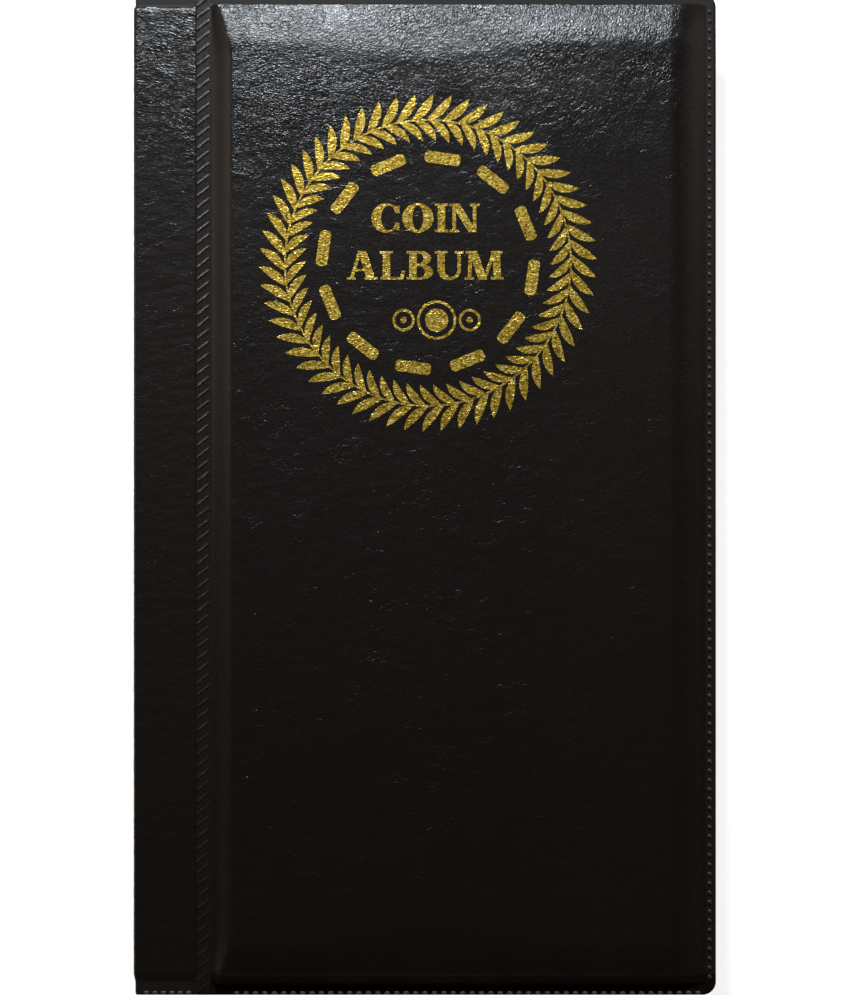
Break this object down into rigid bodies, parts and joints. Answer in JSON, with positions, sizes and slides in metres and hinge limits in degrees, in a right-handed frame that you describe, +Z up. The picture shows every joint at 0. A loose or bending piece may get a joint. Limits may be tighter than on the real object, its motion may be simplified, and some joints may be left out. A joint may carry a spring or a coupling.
{
  "type": "coin album",
  "caption": "Padded black vinyl coin album, closed: hinged front and back covers, riveted binding strip, gold wreath and title, clear pocket leaves.",
  "frame": {"origin": "middle of the closed album's underside, on the surface it lies on", "axes": "+X from spine to fore-edge, +Y from tail to head, +Z up through the closed album"},
  "size_m": [0.131, 0.225, 0.0214],
  "materials": {
    "cover_vinyl": "glossy grained",
    "lining_vinyl": "fine matte",
    "grey_board": "uncoated",
    "foam_padding": "open cell foam",
    "rivet_steel": "plated",
    "gold_foil": "hot stamped foil",
    "clear_film": "clear polished film"
  },
  "bodies": {
    "binding": {"spine_wrap_skin": "cover_vinyl", "binding_lining": "lining_vinyl", "spine_board": "grey_board", "front_strip_board": "grey_board", "back_strip_board": "grey_board", "binding_posts": "rivet_steel", "post_caps": "rivet_steel", "leaf_stubs": "clear_film", "binding_spacers": "grey_board", "binding_shim": "grey_board", "front_hinge_web": "cover_vinyl", "back_hinge_web": "cover_vinyl", "leaf_fold_margins": "clear_film"},
    "front_cover": {"front_skin": "cover_vinyl", "front_foam": "foam_padding", "front_board": "grey_board", "front_lining": "lining_vinyl", "foil_wreath": "gold_foil", "foil_dashes": "gold_foil", "foil_title": "gold_foil", "foil_emblem": "gold_foil"},
    "back_cover": {"back_skin": "cover_vinyl", "back_foam": "foam_padding", "back_board": "grey_board", "back_lining": "lining_vinyl"},
    "leaf_01": {"leaf_01_film": "clear_film", "leaf_01_welds": "clear_film", "leaf_01_pockets": "clear_film"},
    "leaf_02": {"leaf_02_film": "clear_film", "leaf_02_welds": "clear_film", "leaf_02_pockets": "clear_film"},
    "leaf_03": {"leaf_03_film": "clear_film", "leaf_03_welds": "clear_film", "leaf_03_pockets": "clear_film"},
    "leaf_04": {"leaf_04_film": "clear_film", "leaf_04_welds": "clear_film", "leaf_04_pockets": "clear_film"},
    "leaf_05": {"leaf_05_film": "clear_film", "leaf_05_welds": "clear_film", "leaf_05_pockets": "clear_film"},
    "leaf_06": {"leaf_06_film": "clear_film", "leaf_06_welds": "clear_film", "leaf_06_pockets": "clear_film"},
    "leaf_07": {"leaf_07_film": "clear_film", "leaf_07_welds": "clear_film", "leaf_07_pockets": "clear_film"},
    "leaf_08": {"leaf_08_film": "clear_film", "leaf_08_welds": "clear_film", "leaf_08_pockets": "clear_film"},
    "leaf_09": {"leaf_09_film": "clear_film", "leaf_09_welds": "clear_film", "leaf_09_pockets": "clear_film"},
    "leaf_10": {"leaf_10_film": "clear_film", "leaf_10_welds": "clear_film", "leaf_10_pockets": "clear_film"}
  },
  "joints": [
    {"name": "front_cover_hinge", "type": "hinge", "parent": "binding", "child": "front_cover", "pos_m": [-0.0462, 0, 0.0201], "axis": [0, -1, 0], "range_deg": [0, 180], "deforming": ["front_hinge_web", "leaf_fold_margins"]},
    {"name": "back_cover_hinge", "type": "hinge", "parent": "binding", "child": "back_cover", "pos_m": [-0.0462, 0, 0.0013], "axis": [0, 1, 0], "range_deg": [0, 180], "deforming": ["back_hinge_web"]},
    {"name": "leaf_01_hinge", "type": "hinge", "parent": "binding", "child": "leaf_01", "pos_m": [-0.0462, 0, 0.0201], "axis": [0, -1, 0], "range_deg": [0, 162.05]},
    {"name": "leaf_02_hinge", "type": "hinge", "parent": "binding", "child": "leaf_02", "pos_m": [-0.0462, 0, 0.01876], "axis": [0, -1, 0], "range_deg": [0, 149.45]},
    {"name": "leaf_03_hinge", "type": "hinge", "parent": "binding", "child": "leaf_03", "pos_m": [-0.0462, 0, 0.01741], "axis": [0, -1, 0], "range_deg": [0, 136.85]},
    {"name": "leaf_04_hinge", "type": "hinge", "parent": "binding", "child": "leaf_04", "pos_m": [-0.0462, 0, 0.01607], "axis": [0, -1, 0], "range_deg": [0, 124.25]},
    {"name": "leaf_05_hinge", "type": "hinge", "parent": "binding", "child": "leaf_05", "pos_m": [-0.0462, 0, 0.01472], "axis": [0, -1, 0], "range_deg": [0, 111.65]},
    {"name": "leaf_06_hinge", "type": "hinge", "parent": "binding", "child": "leaf_06", "pos_m": [-0.0462, 0, 0.01338], "axis": [0, -1, 0], "range_deg": [0, 99.05]},
    {"name": "leaf_07_hinge", "type": "hinge", "parent": "binding", "child": "leaf_07", "pos_m": [-0.0462, 0, 0.01203], "axis": [0, -1, 0], "range_deg": [0, 86.45]},
    {"name": "leaf_08_hinge", "type": "hinge", "parent": "binding", "child": "leaf_08", "pos_m": [-0.0462, 0, 0.01069], "axis": [0, -1, 0], "range_deg": [0, 73.85]},
    {"name": "leaf_09_hinge", "type": "hinge", "parent": "binding", "child": "leaf_09", "pos_m": [-0.0462, 0, 0.00934], "axis": [0, -1, 0], "range_deg": [0, 61.25]},
    {"name": "leaf_10_hinge", "type": "hinge", "parent": "binding", "child": "leaf_10", "pos_m": [-0.0462, 0, 0.008], "axis": [0, -1, 0], "range_deg": [0, 48.65]}
  ],
  "couplings": [
    {"joint": "leaf_01_hinge", "follows": "front_cover_hinge", "ratio": 0.9},
    {"joint": "leaf_02_hinge", "follows": "front_cover_hinge", "ratio": 0.83},
    {"joint": "leaf_03_hinge", "follows": "front_cover_hinge", "ratio": 0.76},
    {"joint": "leaf_04_hinge", "follows": "front_cover_hinge", "ratio": 0.69},
    {"joint": "leaf_05_hinge", "follows": "front_cover_hinge", "ratio": 0.62},
    {"joint": "leaf_06_hinge", "follows": "front_cover_hinge", "ratio": 0.55},
    {"joint": "leaf_07_hinge", "follows": "front_cover_hinge", "ratio": 0.48},
    {"joint": "leaf_08_hinge", "follows": "front_cover_hinge", "ratio": 0.41},
    {"joint": "leaf_09_hinge", "follows": "front_cover_hinge", "ratio": 0.34},
    {"joint": "leaf_10_hinge", "follows": "front_cover_hinge", "ratio": 0.27}
  ]
}
